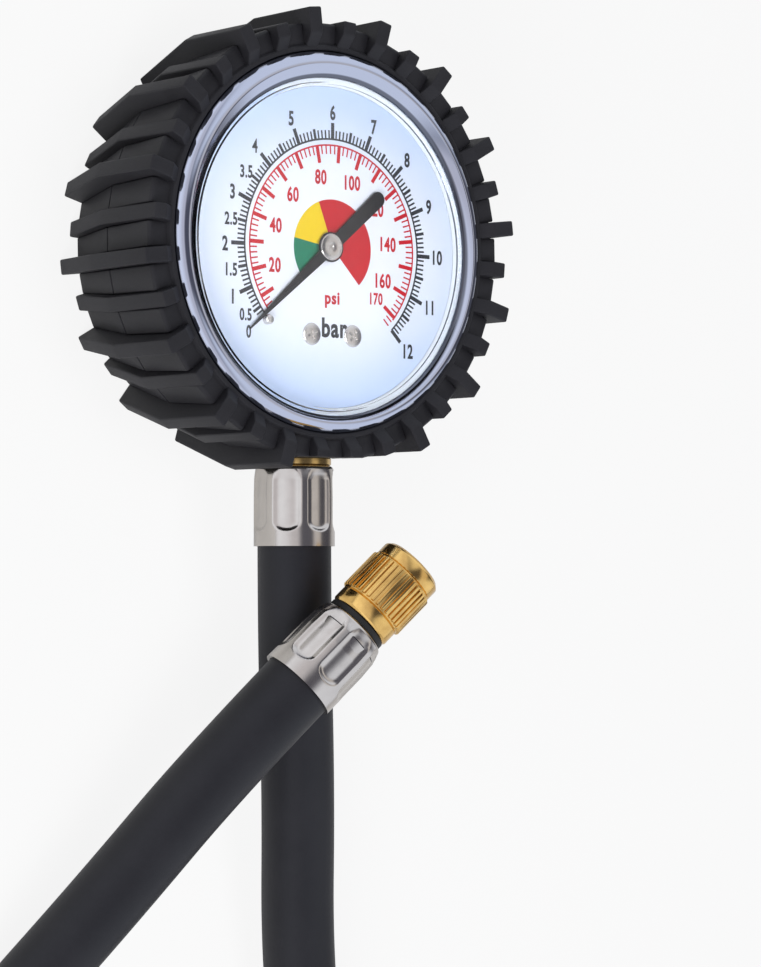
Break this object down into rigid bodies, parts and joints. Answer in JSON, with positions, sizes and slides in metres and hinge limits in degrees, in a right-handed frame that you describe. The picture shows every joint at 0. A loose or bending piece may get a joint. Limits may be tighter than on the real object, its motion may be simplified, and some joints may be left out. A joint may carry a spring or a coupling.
{
  "type": "tyre inflator with gauge",
  "caption": "Dial pressure gauge in a ribbed rubber boot, with an air hose that ends in a knurled screw-on connector for a tyre valve.",
  "frame": {"origin": "on the boot's flat back, where the pointer's axis meets it", "axes": "+Z from the boot's back out through the dial, +Y to 12 o'clock, +X to 3 o'clock; the stem leaves towards -Y"},
  "size_m": [0.1579, 0.3564, 0.0475],
  "materials": {
    "boot_rubber": "matte moulded",
    "hose_rubber": "matte extruded",
    "seal_rubber": "matte",
    "washer_black": "matte",
    "case_paint": "satin black",
    "bezel_chrome": "bright plated",
    "clear_lens": "clear polished",
    "dial_white": "satin white",
    "pointer_black": "satin black",
    "screw_steel": "bright",
    "ferrule_steel": "bright pressed",
    "brass": "turned",
    "nut_brass": "turned and knurled",
    "movement_brass": "stamped",
    "tube_bronze": "drawn",
    "spring_bronze": "drawn",
    "washer_copper": "annealed copper"
  },
  "bodies": {
    "gauge": {"rubber_boot": "boot_rubber", "gauge_case": "case_paint", "bezel_ring": "bezel_chrome", "lens": "clear_lens", "lens_gasket": "seal_rubber", "dial_plate": "dial_white", "dial_screws": "screw_steel", "stop_pin": "screw_steel", "socket_block": "brass", "bourdon_tube": "tube_bronze", "hairspring": "spring_bronze", "hairspring_stud": "movement_brass", "movement_plate_back": "movement_brass", "movement_plate_front": "movement_brass", "movement_pillars": "movement_brass", "pillar_screws": "screw_steel", "movement_screws": "screw_steel", "case_screws": "screw_steel", "vent_plug": "seal_rubber", "sealing_washer": "washer_copper", "hose_tail": "brass", "ferrule_gauge_end": "ferrule_steel", "hose": "hose_rubber", "ferrule_connector_end": "ferrule_steel", "connector_stem": "brass", "dust_washer": "washer_black", "retaining_ring": "screw_steel", "nut_seal": "seal_rubber", "depressor_pin": "brass"},
    "sector": {"sector_gear": "movement_brass", "sector_arbor": "screw_steel", "tail_pin": "screw_steel"},
    "pointer": {"pointer": "pointer_black", "pointer_hub_cap": "screw_steel", "pinion_arbor": "screw_steel", "hairspring_collet": "movement_brass"},
    "link": {"link": "movement_brass"},
    "tip": {"tube_tip": "brass", "tip_pin": "screw_steel"},
    "nut": {"swivel_nut": "nut_brass"}
  },
  "joints": [
    {"name": "sector_swing", "type": "hinge", "parent": "gauge", "child": "sector", "pos_m": [0.00985, -0.01049, 0.0196], "axis": [0, 0, 1], "range_deg": [0, 29.33], "stiffness_Nm_per_rad": 0.01, "springref_deg": -5.73},
    {"name": "pointer_turn", "type": "hinge", "parent": "gauge", "child": "pointer", "pos_m": [0, 0, 0.025], "axis": [0, 0, 1], "range_deg": [-264, 0], "deforming": ["hairspring"]},
    {"name": "link_turn", "type": "hinge", "parent": "sector", "child": "link", "pos_m": [0.01396, -0.01333, 0.0208], "axis": [0, 0, 1], "range_deg": [-29.33, 0]},
    {"name": "tip_move", "type": "hinge", "parent": "gauge", "child": "tip", "pos_m": [-0.0068, 0.00633, 0.02], "axis": [0, 0, 1], "range_deg": [0, 5.5], "deforming": ["bourdon_tube"]},
    {"name": "nut_spin", "type": "hinge", "parent": "gauge", "child": "nut", "pos_m": [0.00671, -0.06241, 0.03982], "axis": [0.6639, 0.7019, 0.258], "continuous": true}
  ],
  "couplings": [
    {"joint": "pointer_turn", "follows": "sector_swing", "ratio": -9},
    {"joint": "link_turn", "follows": "sector_swing", "ratio": -1},
    {"joint": "tip_move", "follows": "sector_swing", "ratio": 0.18735}
  ]
}
